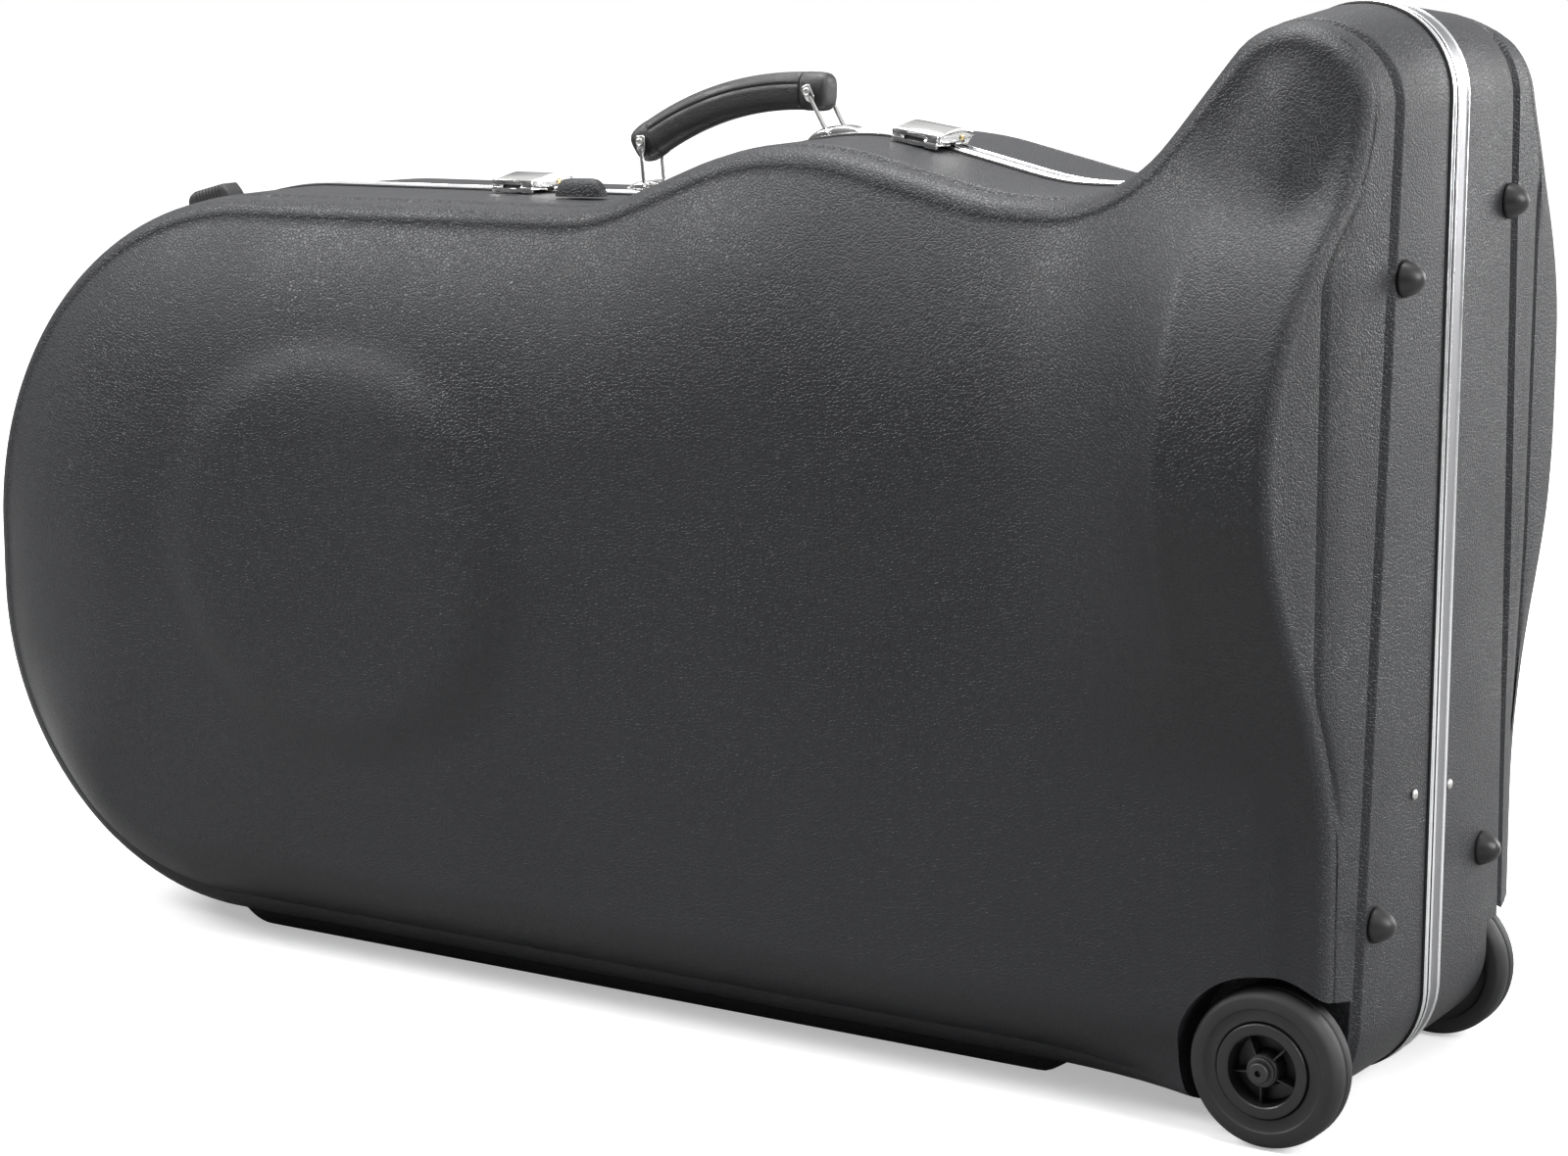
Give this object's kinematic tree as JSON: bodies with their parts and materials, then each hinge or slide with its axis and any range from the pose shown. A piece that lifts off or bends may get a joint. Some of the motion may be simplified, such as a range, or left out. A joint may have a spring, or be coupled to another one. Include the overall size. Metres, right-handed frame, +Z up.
{
  "type": "tuba case",
  "caption": "Contoured hard case for a tuba, hinged along the bottom, with draw latches, a carrying handle on wire bails and transport wheels.",
  "frame": {"origin": "on the floor, at the centre of the case's length and depth, in the parting plane of the two halves", "axes": "+X towards the bell end, +Y towards the half that carries the handle and latch levers, +Z up"},
  "size_m": [1.147, 0.414, 0.6882],
  "materials": {
    "abs_grained": "grained black moulded plastic",
    "plush": "short black plush over foam",
    "aluminium": "bright extruded edge frame",
    "rubber": "black moulded tyre",
    "bumper_rubber": "black ribbed rubber",
    "hub_plastic": "black moulded wheel hub",
    "leather": "black padded grip cover",
    "brass_rivet": "brass tinted rivet",
    "chrome": "bright nickel plating",
    "zinc_plated": "zinc plated steel"
  },
  "bodies": {
    "body": {"far_shell": "abs_grained", "far_lining_bell": "plush", "far_lining_middle": "plush", "far_lining_tail_upper": "plush", "far_lining_tail_lower": "plush", "far_valance_front": "aluminium", "far_valance_rear": "aluminium", "far_axle_plate": "zinc_plated", "far_washer": "zinc_plated", "far_axle_bolt": "zinc_plated", "far_foot_upper": "abs_grained", "far_foot_lower": "abs_grained", "far_stay_rivet": "zinc_plated", "latch_a_base": "chrome", "latch_a_pin": "chrome", "latch_b_base": "chrome", "latch_b_pin": "chrome", "handle_base_left": "chrome", "handle_base_right": "chrome", "hinge_a_far": "zinc_plated", "hinge_b_far": "zinc_plated", "hinge_c_far": "zinc_plated", "hinge_a_pin": "zinc_plated", "hinge_b_pin": "zinc_plated", "hinge_c_pin": "zinc_plated"},
    "lid": {"near_shell": "abs_grained", "near_lining_bell": "plush", "near_lining_middle": "plush", "near_lining_tail_upper": "plush", "near_lining_tail_lower": "plush", "near_valance_front": "aluminium", "near_valance_rear": "aluminium", "near_axle_plate": "zinc_plated", "near_washer": "zinc_plated", "near_axle_bolt": "zinc_plated", "near_foot_upper": "abs_grained", "near_foot_lower": "abs_grained", "near_stay_rivet": "zinc_plated", "latch_a_catch": "chrome", "latch_b_catch": "chrome", "latch_guard": "abs_grained", "rear_bumper": "bumper_rubber", "hinge_a_near": "zinc_plated", "hinge_b_near": "zinc_plated", "hinge_c_near": "zinc_plated"},
    "near_wheel": {"near_tyre": "rubber", "near_hub": "hub_plastic"},
    "far_wheel": {"far_tyre": "rubber", "far_hub": "hub_plastic"},
    "latch_a": {"latch_a_lever": "chrome", "latch_a_rivet": "brass_rivet"},
    "latch_b": {"latch_b_lever": "chrome", "latch_b_rivet": "brass_rivet"},
    "bail_l": {"bail_left": "chrome"},
    "bail_r": {"bail_right": "chrome"},
    "handle": {"grip": "leather", "grip_pin_left": "zinc_plated", "grip_pin_right": "zinc_plated"}
  },
  "joints": [
    {"name": "lid_hinge", "type": "hinge", "parent": "body", "child": "lid", "pos_m": [0, 0, 0.0053], "axis": [1, 0, 0], "range_deg": [0, 100]},
    {"name": "near_wheel_spin", "type": "hinge", "parent": "lid", "child": "near_wheel", "pos_m": [0.5106, -0.135, 0.05], "axis": [0, 1, 0], "continuous": true},
    {"name": "far_wheel_spin", "type": "hinge", "parent": "body", "child": "far_wheel", "pos_m": [0.5106, 0.135, 0.05], "axis": [0, 1, 0], "continuous": true},
    {"name": "latch_a_lift", "type": "hinge", "parent": "body", "child": "latch_a", "pos_m": [-0.13448, 0.019, 0.55532], "axis": [0.9999, 0, 0.0121], "range_deg": [-60, 0]},
    {"name": "latch_b_lift", "type": "hinge", "parent": "body", "child": "latch_b", "pos_m": [0.19332, 0.019, 0.59835], "axis": [0.9893, 0, -0.1461], "range_deg": [-60, 0]},
    {"name": "bail_left_swing", "type": "hinge", "parent": "body", "child": "bail_l", "pos_m": [-0.04351, 0.0175, 0.55487], "axis": [0, 1, 0], "range_deg": [-9, 10]},
    {"name": "grip_swing", "type": "hinge", "parent": "bail_l", "child": "handle", "pos_m": [-0.04643, 0.0175, 0.58523], "axis": [0, 1, 0], "range_deg": [-12, 12]},
    {"name": "bail_right_swing", "type": "hinge", "parent": "body", "child": "bail_r", "pos_m": [0.1059, 0.0175, 0.59664], "axis": [0, 1, 0], "range_deg": [-11, 11]}
  ],
  "couplings": [
    {"joint": "grip_swing", "follows": "bail_left_swing", "ratio": -1.0919},
    {"joint": "bail_right_swing", "follows": "bail_left_swing", "ratio": 1.0178}
  ]
}
